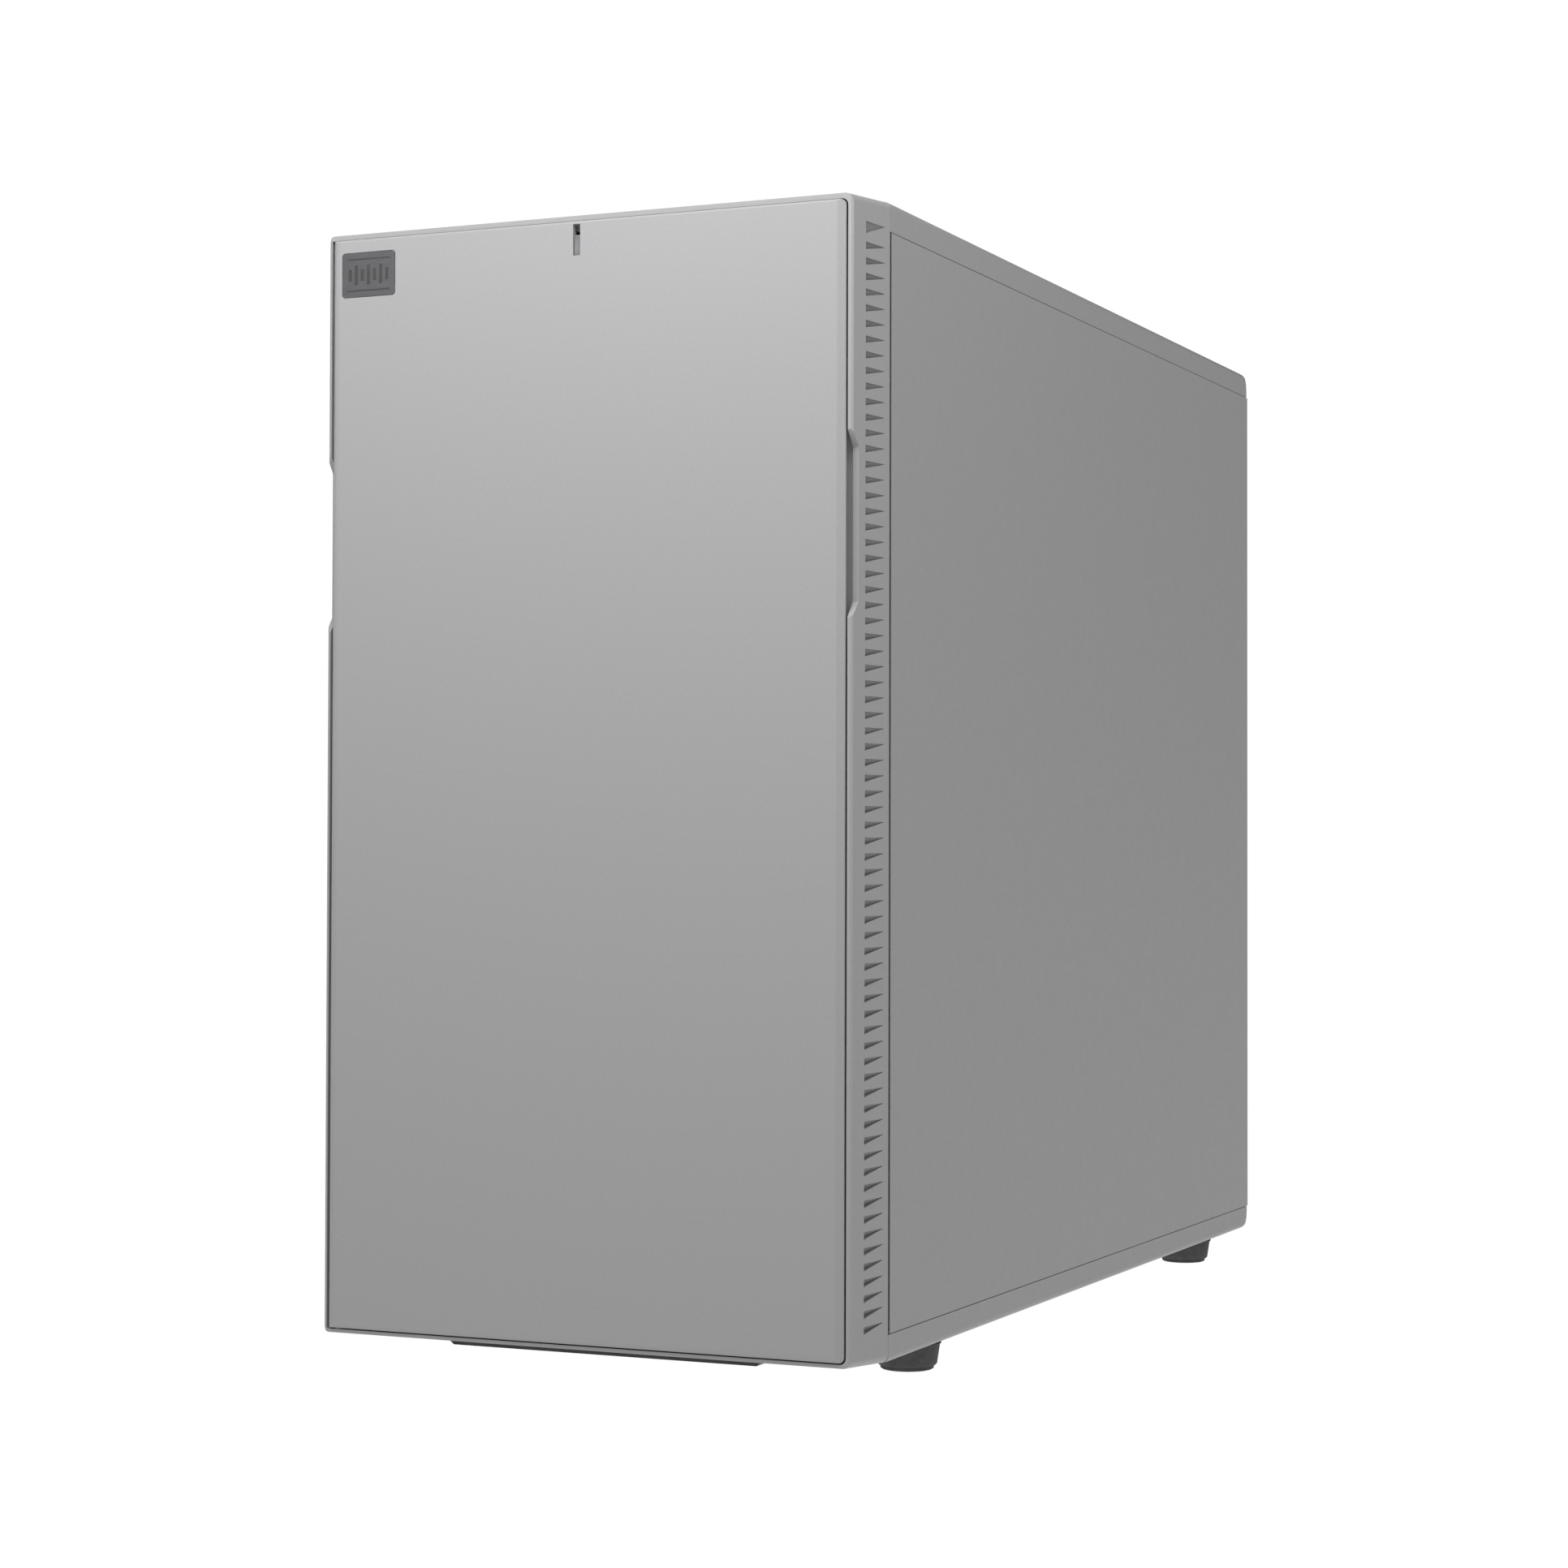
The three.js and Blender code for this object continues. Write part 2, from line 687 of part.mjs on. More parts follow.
// ---- Bottom filter ----
const filter = group("bottom_filter");
const lipFront = front + 21;
const filterBack = 240;
const filterWindows = [];
for (let i = 0; i < 7; i++) {
  const y = lipFront + 14 + i * 66.5;
  filterWindows.push(block(-filterHalf + 6, -2, y, y + 60, 0, low));
  filterWindows.push(block(2, filterHalf - 6, y, y + 60, 0, low));
}
const lipProfile = [
  [-filterHalf, low - gap],
  [-filterHalf + 4, filterLow],
  [filterHalf - 4, filterLow],
  [filterHalf, low - gap],
];
const filterPlate = joined([
  block(-filterHalf, filterHalf, lipFront + 8, filterBack, filterLow, low - gap),
  elevation(lipProfile, lipFront, lipFront + 8.5),
]);
piece(filter, "bottom_filter", cut(filterPlate, filterWindows), "blackPlastic");

// ---- Top controls ----
const controls = group("controls");
const moduleLow = topFrameLow + sheet + 0.4;
const moduleHigh = high - 0.3;
const portMid = (portY[0] + portY[1]) / 2;
const usbX = [-44, -26];
const jackX = [38, 48];
const resetX = 24;
const moduleCuts = [
  plan(rounded(-11.4, 11.4, portMid - 5.4, portMid + 5.4, 3), moduleLow + 1.2, high + 1),
  rod("z", 2.4, 20, resetX, portMid, moduleLow + 11.2, 16),
  ...usbX.map((x) => block(x, x + 13, portMid - 2.9, portMid + 2.9, moduleLow + 2, high + 1)),
  ...jackX.map((x) => rod("z", 1.8, 20, x, portMid, moduleLow + 12, 12)),
];
const moduleBlock = plan(
  rounded(-portX + gap, portX - gap, portY[0] + gap, portY[1] - gap, 2.8),
  moduleLow,
  moduleHigh,
);
piece(controls, "io_module", cut(moduleBlock, moduleCuts), "blackPlastic");
const buttonTop = high - 0.25;
const powerCap = plan(rounded(-11, 11, portMid - 5, portMid + 5, 2.7), moduleLow + 3.6, buttonTop);
piece(controls, "power_button", powerCap, "palePlastic");
const resetHeight = buttonTop - moduleLow - 3.6;
const resetCap = rod("z", 2.05, resetHeight, resetX, portMid, buttonTop - resetHeight / 2, 16);
piece(controls, "reset_button", resetCap, "blackPlastic");
const sliderHead = block(
  sliderX - 4.5,
  sliderX + 4.5,
  frontWallBack + 0.3,
  frontWallBack + 2.3,
  sliderZ - 6,
  sliderZ + 6,
);
const sliderStem = block(
  sliderX - 2.3,
  sliderX + 2.3,
  frontWall + 0.2,
  frontWallBack + 1,
  sliderZ - 4,
  sliderZ + 21 - sliderTravel - 2,
);
piece(controls, "fan_speed_slider", sliderHead.add(sliderStem), "palePlastic");

// ---- Fans: built about their own axis along Y, with the struts at the back ----
const fans = group("fans");

function fanFrame(size, depth, bore, hub) {
  const corner = size / 2 - 5.5;
  const body = elevation(rounded(-size / 2, size / 2, -size / 2, size / 2, 5, 2), -depth / 2, depth / 2);
  const cuts = [rod("y", bore, depth + 4, 0, 0, 0, 40)];
  for (const x of [-corner, corner]) {
    for (const z of [-corner, corner]) cuts.push(rod("y", 2.1, depth + 4, x, 0, z, 8));
  }
  const strutBack = depth / 2 - 0.4;
  const struts = [
    block(-bore - 1, bore + 1, strutBack - 1.6, strutBack, -1.6, 1.6),
    block(-1.6, 1.6, strutBack - 1.6, strutBack, -bore - 1, bore + 1),
    rod("y", hub, 1.6, 0, strutBack - 0.8, 0, 20),
  ];
  return joined([cut(body, cuts), ...struts]);
}

function fanRotor(radius, hub, depth, blades, back) {
  const parts = [rod("y", hub, depth, 0, back - depth / 2, 0, 24)];
  const long = radius - hub + 2;
  const chord = (radius * 3.2) / blades;
  for (let i = 0; i < blades; i++) {
    const blade = new THREE.BoxGeometry(long, 1.5, chord);
    blade.rotateX((36 * Math.PI) / 180);
    blade.translate(hub + long / 2 - 2, back - depth / 2 - 1.5, 0);
    blade.rotateY((i * 2 * Math.PI) / blades);
    parts.push(solid(blade));
  }
  return joined(parts);
}

const caseFrame = fanFrame(140, 25, 68, 22);
const caseRotor = fanRotor(66, 21.5, 17, 7, 10.2);
const frontFanY = chassisFront + 3.4 + 12.5;
const rearFanY = rearIn - 0.4 - 12.5;
piece(fans, "front_fan_frame", caseFrame, "blackPlastic", [0, frontFanY, frontFanZ[0]]);
piece(fans, "front_fan_rotor", caseRotor, "palePlastic", [0, frontFanY, frontFanZ[0]]);
piece(fans, "rear_fan_frame", caseFrame, "blackPlastic", [rearFan[0], rearFanY, rearFan[1]]);
piece(fans, "rear_fan_rotor", caseRotor, "palePlastic", [rearFan[0], rearFanY, rearFan[1]]);
const cpuFan = [-10, 134.5, 345];
piece(fans, "cpu_fan_frame", fanFrame(120, 25, 58, 20), "blackPlastic", cpuFan);
piece(fans, "cpu_fan_rotor", fanRotor(56, 19.5, 17, 9, 10.2), "blackPlastic", cpuFan);

// ---- Drives ----
const drives = group("drives");
const cage = [-65, 85, -196, -86, frameLow, 250];
const cageOuter = block(...cage);
const cageInner = block(
  cage[0] - 1,
  cage[1] + 1,
  cage[2] + sheet,
  cage[3] - sheet,
  cage[4] + sheet,
  cage[5] - sheet,
);
const ledges = [];
const bayPitch = 38;
for (let i = 0; i < 6; i++) {
  const z = 20 + i * bayPitch;
  ledges.push(block(cage[0], cage[1], cage[2] + 0.5, cage[2] + 4, z, z + sheet));
  ledges.push(block(cage[0], cage[1], cage[3] - 4, cage[3] - 0.5, z, z + sheet));
}
piece(drives, "drive_cage", joined([cageOuter.subtract(cageInner), ...ledges]), "paleSteel");
const trayZ = 20 + bayPitch * 2 + sheet + gap;
const driveTray = joined([
  block(cage[0] + 1, cage[1] - 1, cage[2] + 1.6, cage[3] - 1.6, trayZ, trayZ + 1.8),
  block(cage[0] - 5, cage[0] + 2, cage[2] + 1.6, cage[3] - 1.6, trayZ, trayZ + 22),
]);
piece(drives, "drive_tray", driveTray, "palePlastic");
const diskZ = trayZ + 1.8 + gap;
const disk = elevation(rounded(-70 + 10, 77, diskZ, diskZ + 26.1, 1.5, 2), -191.8, -90.2);
piece(drives, "hard_drive", disk, "aluminium");
const bayCage = [-bayHalf - 1.2, bayHalf + 1.2, chassisFront + 3.1, -85, bayLow - 1.5, bayHigh + 1.5];
const bayCageHollow = block(-bayHalf, bayHalf, bezelBack, -80, bayLow - 0.3, bayHigh + 0.3);
piece(drives, "optical_bay_cage", block(...bayCage).subtract(bayCageHollow), "blackSteel");

// ---- Power supply ----
const power = group("power");
const [px0, px1, py0, py1, pz0, pz1] = psuBox;
const psuFanAt = [9, 175];
const inletX = [48, 75];
const inletZ = [74, 96];
const switchAt = [24, 85];
const psuCuts = [
  block(px0 + 1.4, px1 - 1.4, py0 + 1.4, py1 - 1.4, pz0 + 1.4, pz1 - 1.4),
  rod("z", 64, 10, psuFanAt[0], psuFanAt[1], pz0, 40),
  block(inletX[0] - gap, inletX[1] + gap, py1 - 5, py1 + 5, inletZ[0] - gap, inletZ[1] + gap),
  block(switchAt[0] - 10.8, switchAt[0] + 10.8, py1 - 5, py1 + 5, switchAt[1] - 7.3, switchAt[1] + 7.3),
  block(20, 50, py0 - 1, py0 + 5, 60, 76),
];
for (let i = 0; i < 9; i++) {
  psuCuts.push(block(px0 + 8 + i * 8, px0 + 13 + i * 8, py1 - 5, py1 + 5, pz0 + 8, pz1 - 8));
}
for (let i = 0; i < 7; i++) {
  psuCuts.push(block(20 + i * 8, 25 + i * 8, py1 - 5, py1 + 5, pz0 + 8, pz0 + 40));
}
const psuStruts = [
  block(psuFanAt[0] - 66, psuFanAt[0] + 66, psuFanAt[1] - 1.5, psuFanAt[1] + 1.5, pz0 + 0.1, pz0 + 1.3),
  block(psuFanAt[0] - 1.5, psuFanAt[0] + 1.5, psuFanAt[1] - 66, psuFanAt[1] + 66, pz0 + 0.1, pz0 + 1.3),
  rod("z", 20, 1.2, psuFanAt[0], psuFanAt[1], pz0 + 0.7, 20),
];
piece(power, "psu_case", joined([cut(block(...psuBox), psuCuts), ...psuStruts]), "blackSteel");
const psuRotor = fanRotor(60, 19.5, 14, 9, 7);
piece(power, "psu_fan_rotor", psuRotor, "blackPlastic", [...psuFanAt, pz0 + 14], [Math.PI / 2, 0, 0]);

const inletBack = py1 + 1.2;
const inletShell = block(...inletX, inletBack - 20, inletBack, ...inletZ);
const inletHollow = block(
  inletX[0] + 2,
  inletX[1] - 2,
  inletBack - 15,
  inletBack + 1,
  inletZ[0] + 2,
  inletZ[1] - 2,
);
const inletMid = (inletX[0] + inletX[1]) / 2;
const blades = [
  [-7, 79],
  [0, 82],
  [7, 79],
].map(([x, z]) => block(inletMid + x - 1, inletMid + x + 1, inletBack - 16, inletBack - 3, z, z + 4));
piece(power, "mains_inlet", joined([inletShell.subtract(inletHollow), ...blades]), "blackPlastic");

const switchY = inletBack - 5;
const switchShell = block(
  switchAt[0] - 10.5,
  switchAt[0] + 10.5,
  inletBack - 12,
  inletBack,
  switchAt[1] - 7,
  switchAt[1] + 7,
);
const switchHollow = block(
  switchAt[0] - 8.7,
  switchAt[0] + 8.7,
  inletBack - 10.5,
  inletBack + 1,
  switchAt[1] - 5.5,
  switchAt[1] + 5.5,
);
piece(power, "switch_housing", switchShell.subtract(switchHollow), "blackPlastic");
const rockerPlan = [
  [-7.5, -1.5],
  [7.5, -1.5],
  [7.7, 3.6],
  [0, 2.4],
  [-7.7, 3.6],
];
const rocker = plan(rockerPlan, -5.2, 5.2);
const rockerRest = (-8 * Math.PI) / 180;
piece(power, "psu_switch", rocker, "blackPlastic", [switchAt[0], switchY, switchAt[1]], [0, 0, rockerRest]);

// Main cable from the power supply up to the board's connector
const cablePath = new THREE.CatmullRomCurve3(
  [
    [35, py0 - 1, 68],
    [35, 72, 68],
    [38, 20, 84],
    [50, -8, 150],
    [54, -10, 270],
    [52, -6, 335],
    [52, 10, 356],
    [56, 17, 356],
  ].map((at) => new THREE.Vector3(...at)),
);
const cableShape = new THREE.Shape(
  rounded(-4, 4, -9, 9, 3.9, 1).map(([a, b]) => new THREE.Vector2(a, b)),
);
const cableTube = new THREE.ExtrudeGeometry(cableShape, { steps: 18, extrudePath: cablePath });
const cablePlug = block(54, 67.7, 11, 23, 331, 381);
piece(power, "main_power_cable", solid(cableTube).add(cablePlug), "rubber");

// ---- Board, processor cooler, memory and graphics card ----
const board = group("board");
const boardX = 79.6;
const boardTop = 433;
const boardPieces = [block(boardX, boardX + 1.6, 10, back - 4, 128, boardTop)];
for (const y of [16, 130, 240]) {
  for (const z of [134, 285, 426]) boardPieces.push(rod("x", 3, 6.4, boardX + 4.6, y, z, 10));
}
const onBoard = [
  [75.5, 155, 195, 325, 365],
  [73, 76, 82, 286, 426],
  [73, 90, 96, 286, 426],
  [68.5, 105, 200, 228.5, 236.5],
  [68.5, 105, 135, 188, 196],
  [68.5, 105, 200, 147, 155],
  [68.5, 11, 23, 330, 382],
  [70, 40, 80, 160, 205],
  [55, 206, 222, 300, 400],
  [64, 120, 222, 408, 424],
];
onBoard.forEach(([x, y0, y1, z0, z1]) => boardPieces.push(block(x, boardX + 0.4, y0, y1, z0, z1)));
piece(board, "motherboard", joined(boardPieces), "circuit");

const portsBack = back + 0.1;
const portsX = [40.3, boardX - 0.3];
const usbTop = 352.6;
const usbHeights = [296, 316, 336];
const usbCuts = usbHeights.flatMap((z) => [
  block(45, 50.8, portsBack - 12, portsBack + 1, z, z + 13),
  block(60, 65.8, portsBack - 12, portsBack + 1, z, z + 13),
]);
piece(board, "rear_usb_ports", cut(block(...portsX, 226, portsBack, 290.3, usbTop), usbCuts), "bareSteel");
const socketCuts = [
  block(58, 70, portsBack - 14, portsBack + 1, 357, 370),
  block(62, 67.5, portsBack - 10, portsBack + 1, 378, 393),
];
for (const x of [47, 58, 69]) socketCuts.push(rod("y", 1.9, 20, x, portsBack, 410, 10));
const socketBlock = block(...portsX, 226, portsBack, usbTop + gap, 424.7);
piece(board, "rear_sockets", cut(socketBlock, socketCuts), "bareSteel");
const shield = block(
  ioHole[0] + gap,
  ioHole[1] - gap,
  rearIn + 0.2,
  back - 0.2,
  ioHole[2] + gap,
  ioHole[3] - gap,
);
const shieldHole = block(40, boardX, rearIn - 1, back + 1, 290, 425);
piece(board, "io_shield", shield.subtract(shieldHole), "bareSteel");

const coolerPieces = [block(66, 75.2, 155, 195, 325, 365)];
for (let i = 0; i < 11; i++) {
  const x = 50 - i * 11.6;
  coolerPieces.push(block(x, x + 1.4, 150, 200, 288, 402));
}
for (const y of [163, 175, 187]) coolerPieces.push(rod("x", 3, 142, -3, y, 345, 6));
piece(board, "cpu_cooler", joined(coolerPieces), "aluminium");

[79, 93].forEach((y, i) => {
  const module = block(40, 72.7, y - 1.4, y + 1.4, 288, 421).add(block(38.5, 62, y - 3, y + 3, 288, 421));
  piece(board, "memory_module_" + (i ? "b" : "a"), module, "aluminium");
});

const gpuFanAt = [17, 120];
const cardBody = joined([
  block(-35, 68.2, 0, rearIn - 2, cardZ, cardZ + 1.6),
  block(-32, 66, 4, 246, cardZ - 36, cardZ + 0.2),
  block(-32, 78, rearIn - 2.4, rearIn - 0.6, cardZ - 29.5, cardZ + 5),
]);
const cardCuts = [rod("z", 42, 40, ...gpuFanAt, cardZ - 36, 36)];
for (let i = 0; i < 5; i++) {
  cardCuts.push(block(-20, 55, 176 + i * 12, 183 + i * 12, cardZ - 37, cardZ - 26));
}
piece(board, "graphics_card", cut(cardBody, cardCuts), "blackPlastic");
const cardRotor = fanRotor(39, 14, 12, 9, 6);
piece(board, "gpu_fan_rotor", cardRotor, "blackPlastic", [...gpuFanAt, cardZ - 27.5], [Math.PI / 2, 0, 0]);

export default tower;
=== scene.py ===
import bmesh
import bpy
import math
from mathutils import Matrix, Vector


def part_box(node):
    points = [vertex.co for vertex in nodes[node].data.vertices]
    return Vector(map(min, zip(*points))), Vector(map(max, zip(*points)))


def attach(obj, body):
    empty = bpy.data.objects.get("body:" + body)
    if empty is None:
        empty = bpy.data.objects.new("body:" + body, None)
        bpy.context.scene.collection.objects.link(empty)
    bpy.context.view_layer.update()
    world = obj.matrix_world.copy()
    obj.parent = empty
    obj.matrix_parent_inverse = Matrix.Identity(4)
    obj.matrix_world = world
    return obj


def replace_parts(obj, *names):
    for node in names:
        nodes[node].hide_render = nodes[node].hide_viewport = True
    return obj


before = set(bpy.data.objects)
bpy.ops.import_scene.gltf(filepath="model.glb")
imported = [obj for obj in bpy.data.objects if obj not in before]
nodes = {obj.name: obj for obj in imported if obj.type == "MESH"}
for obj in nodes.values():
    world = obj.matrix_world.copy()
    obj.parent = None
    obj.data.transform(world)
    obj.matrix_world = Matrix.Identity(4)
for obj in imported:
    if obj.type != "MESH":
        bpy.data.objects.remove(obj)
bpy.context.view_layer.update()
mm = 0.001


def colour(code):
    # sRGB hex to the linear colour that the shader wants
    parts = [int(code[i : i + 2], 16) / 255 for i in (1, 3, 5)]
    return tuple(c / 12.92 if c <= 0.04045 else ((c + 0.055) / 1.055) ** 2.4 for c in parts) + (1.0,)


def addNode(tree, kind, settings=None, **inputs):
    # one node, its settings, and its inputs as values or as sockets to link; i6 is the input numbered 6
    made = tree.nodes.new(kind)
    for key, value in (settings or {}).items():
        setattr(made, key, value)
    for key, value in inputs.items():
        socket = made.inputs[int(key[1:]) if key[0] == "i" and key[1:].isdigit() else key.replace("_", " ")]
        if isinstance(value, bpy.types.NodeSocket):
            tree.links.new(value, socket)
        else:
            socket.default_value = value
    return made


def startMaterial(name, base, roughness, metallic=0.0, **sockets):
    made = bpy.data.materials.new(name)
    made.use_nodes = True
    tree = made.node_tree
    tree.nodes.clear()
    shader = addNode(
        tree, "ShaderNodeBsdfPrincipled", Base_Color=colour(base), Roughness=roughness, Metallic=metallic
    )
    for key, value in sockets.items():
        shader.inputs[key.replace("_", " ")].default_value = value
    addNode(tree, "ShaderNodeOutputMaterial", Surface=shader.outputs[0])
    place = addNode(tree, "ShaderNodeTexCoord").outputs["Object"]
    return made, tree, shader, place


def noiseOf(tree, place, sizeMm, detail=2.0, roughness=0.5):
    scale = 1000 / sizeMm
    made = addNode(tree, "ShaderNodeTexNoise", Vector=place, Scale=scale, Detail=detail, Roughness=roughness)
    return made.outputs[0]


def tint(tree, shader, factor, first, second, low=0.35, high=0.65):
    span = addNode(tree, "ShaderNodeMapRange", Value=factor, From_Min=low, From_Max=high)
    mix = addNode(
        tree, "ShaderNodeMix", {"data_type": "RGBA"},
        Factor=span.outputs[0], i6=colour(first), i7=colour(second),
    )
    tree.links.new(mix.outputs[2], shader.inputs["Base Color"])


def gloss(tree, shader, factor, low, high):
    # nearly all of the noise lies between 0.3 and 0.7
    span = addNode(
        tree, "ShaderNodeMapRange", Value=factor, From_Min=0.3, From_Max=0.7, To_Min=low, To_Max=high
    )
    tree.links.new(span.outputs[0], shader.inputs["Roughness"])


def relief(tree, shader, height, depthMm):
    bump = addNode(tree, "ShaderNodeBump", Height=height, Distance=depthMm * mm, Strength=1.0)
    tree.links.new(bump.outputs[0], shader.inputs["Normal"])


# Pale grey ABS, moulded against a spark-eroded tool: satin, with a fine even grain and soft broad highlights.
# The real grain is about 0.15 mm, which is too fine to show, so it is drawn at 0.6 mm.
mouldedAbs = {
    "base": "#989899", "shade": "#969697", "roughness": (0.46, 0.51), "cloudMm": 1.3, "rubMm": 3,
    "grainMm": 0.6, "depthMm": 0.012,
}


def paleAbs(name, look):
    made, tree, shader, place = startMaterial(
        name, look["base"], look["roughness"][0], IOR=1.53, Specular_IOR_Level=0.3
    )
    tint(tree, shader, noiseOf(tree, place, look["cloudMm"], 3), look["base"], look["shade"])
    gloss(tree, shader, noiseOf(tree, place, look["rubMm"], 3), *look["roughness"])
    relief(tree, shader, noiseOf(tree, place, look["grainMm"], 2), look["depthMm"])
    return made


# Steel sheet, powder coated and baked: satin, with the slow ripple that painters call orange peel.
paleCoat = {
    "base": "#959596", "shade": "#939394", "roughness": (0.47, 0.52), "cloudMm": 2.2, "rubMm": 5,
    "peelMm": 1.6, "gritShare": 0.35, "depthMm": 0.012,
}
blackCoat = {
    "base": "#232326", "shade": "#2a2a2d", "roughness": (0.45, 0.6), "cloudMm": 2.2, "rubMm": 5,
    "peelMm": 1.2, "gritShare": 0.35, "depthMm": 0.03,
}


def coatedSteel(name, look):
    made, tree, shader, place = startMaterial(
        name, look["base"], look["roughness"][0], IOR=1.5, Specular_IOR_Level=0.3
    )
    tint(tree, shader, noiseOf(tree, place, look["cloudMm"], 3), look["base"], look["shade"])
    gloss(tree, shader, noiseOf(tree, place, look["rubMm"], 3), *look["roughness"])
    peel = noiseOf(tree, place, look["peelMm"], 1.0)
    grit = noiseOf(tree, place, look["peelMm"] / 4)
    both = addNode(
        tree, "ShaderNodeMath", {"operation": "MULTIPLY_ADD"}, i0=grit, i1=look["gritShare"], i2=peel
    )
    relief(tree, shader, both.outputs[0], look["depthMm"])
    return made


# Dark ABS, moulded: a fine even grain like the pale one's, with slightly paler rubbed spots.
def darkAbs(name, base="#1c1c1e", worn="#29292b", roughness=(0.45, 0.62)):
    made, tree, shader, place = startMaterial(name, base, roughness[0], IOR=1.53)
    tint(tree, shader, noiseOf(tree, place, 18, 5, 0.65), base, worn, 0.45, 0.75)
    gloss(tree, shader, noiseOf(tree, place, 5, 3), *roughness)
    relief(tree, shader, noiseOf(tree, place, 0.5, 2), 0.02)
    return made


# Thermoplastic rubber, moulded: dull and dusty, almost without a highlight.
def mouldedRubber(name="rubberMoulded", base="#3b3b3c", dust="#4a4a4a"):
    made, tree, shader, place = startMaterial(name, base, 0.8, IOR=1.5)
    tint(tree, shader, noiseOf(tree, place, 4, 6, 0.7), base, dust, 0.45, 0.8)
    gloss(tree, shader, noiseOf(tree, place, 3, 3), 0.7, 0.9)
    relief(tree, shader, noiseOf(tree, place, 0.4, 2), 0.03)
    return made


# Bitumen-backed polyurethane foam, cut from a block: dark, with open cells about 1.2 mm across; each cell is
# painted darker towards its middle, as painted shade in the pore.
def cutFoam(name="foamCutOpenCell", cellMm=1.2):
    made, tree, shader, place = startMaterial(name, "#2b2b2d", 0.95, IOR=1.4)
    cells = addNode(tree, "ShaderNodeTexVoronoi", Vector=place, Scale=1000 / cellMm)
    # darker in the middle of each cell: painted shade in the pits
    tint(tree, shader, cells.outputs["Distance"], "#151516", "#353537", 0.1, 0.6)
    relief(tree, shader, cells.outputs["Distance"], 0.5)
    return made


# Zinc-plated or brushed steel: a metal with fine drawn lines along one axis.
def drawnMetal(name, base, roughness, stretch, lineMm=0.5, depthMm=0.01):
    made, tree, shader, place = startMaterial(name, base, roughness, 1.0)
    pulled = addNode(tree, "ShaderNodeMapping", Vector=place, Scale=stretch)
    lines = noiseOf(tree, pulled.outputs[0], lineMm, 3)
    gloss(tree, shader, lines, roughness - 0.07, roughness + 0.1)
    relief(tree, shader, lines, depthMm)
    return made


# Glass-fibre board under solder mask: dark green-black, with copper tracks standing 0.04 mm proud.
def circuitBoard(name="boardSolderMasked"):
    made, tree, shader, place = startMaterial(name, "#14231c", 0.4, IOR=1.5)
    grid = addNode(
        tree, "ShaderNodeTexBrick", {"offset": 0.37, "squash": 0.6},
        Vector=addNode(tree, "ShaderNodeMapping", Vector=place, Rotation=(0, math.radians(90), 0)).outputs[0],
        Scale=1000 / 9, Mortar_Size=0.08, Brick_Width=0.9, Row_Height=0.22,
    )
    tint(tree, shader, grid.outputs["Fac"], "#14231c", "#23402f", 0.2, 0.8)
    relief(tree, shader, grid.outputs["Fac"], 0.04)
    return made


# Woven nylon dust mesh: real threads are 0.35 mm apart, and these are drawn 3 mm apart so that they show.
def wovenMesh(name="nylonMeshWoven", pitchMm=3.0):
    made, tree, shader, place = startMaterial(name, "#17171a", 0.6, IOR=1.53)
    # at scale 1 the wave node fits 20 waves into 6.28 units
    scale = 1000 / pitchMm * 6.28 / 20
    waves = []
    for axis in ("X", "Y", "Z"):
        wave = addNode(tree, "ShaderNodeTexWave", {"bands_direction": axis}, Vector=place, Scale=scale)
        waves.append(wave.outputs["Fac"])
    first = addNode(tree, "ShaderNodeMath", {"operation": "MAXIMUM"}, i0=waves[0], i1=waves[1])
    threads = addNode(tree, "ShaderNodeMath", {"operation": "MAXIMUM"}, i0=first.outputs[0], i1=waves[2])
    # the low spots between the threads are painted near-black: painted shade between the threads
    tint(tree, shader, threads.outputs[0], "#08080a", "#2c2c30", 0.4, 0.95)
    relief(tree, shader, threads.outputs[0], 0.25)
    return made


# Frosted acrylic, moulded: a grey light guide that scatters a little.
def frostedAcrylic(name="acrylicFrosted", base="#77787a"):
    made, tree, shader, place = startMaterial(name, base, 0.35, IOR=1.49)
    tint(tree, shader, noiseOf(tree, place, 3, 2), base, "#6b6c6e")
    relief(tree, shader, noiseOf(tree, place, 0.3, 2), 0.01)
    return made


paint = {
    "palePlastic": paleAbs("absMouldedPaleGrey", mouldedAbs),
    "paleSteel": coatedSteel("steelPowderCoatedPaleGrey", paleCoat),
    "blackSteel": coatedSteel("steelPowderCoatedBlack", blackCoat),
    "blackPlastic": darkAbs("blackAbsMoulded"),
    "portPlastic": darkAbs("portAbsMoulded", "#26272b", "#303136"),
    "rubber": mouldedRubber(),
    "foam": cutFoam(),
    "bareSteel": drawnMetal("steelZincPlated", "#a9abae", 0.32, (1, 1, 0.05)),
    "aluminium": drawnMetal("aluminiumRolled", "#b9bcc0", 0.36, (0.04, 1, 1)),
    "badge": drawnMetal("aluminiumBrushedBadge", "#7b7b7d", 0.42, (0.03, 1, 1), 0.25, 0.008),
    "badgeInk": darkAbs("badgeEnamelPrinted", "#3a3a3b", "#424243", (0.35, 0.45)),
    "circuit": circuitBoard(),
    "mesh": wovenMesh(),
    "lens": frostedAcrylic(),
}
print("materials made")

# The camera, at the viewing angle and distance of a normal product view
cameraLook = {
    "place": (0.5804, -1.3716, 0.2042), "turn": 0.4148, "tilt": 0.0213, "roll": 0.0025,
    "lens": 74.54, "shift": (-0.0084, -0.0016),
}


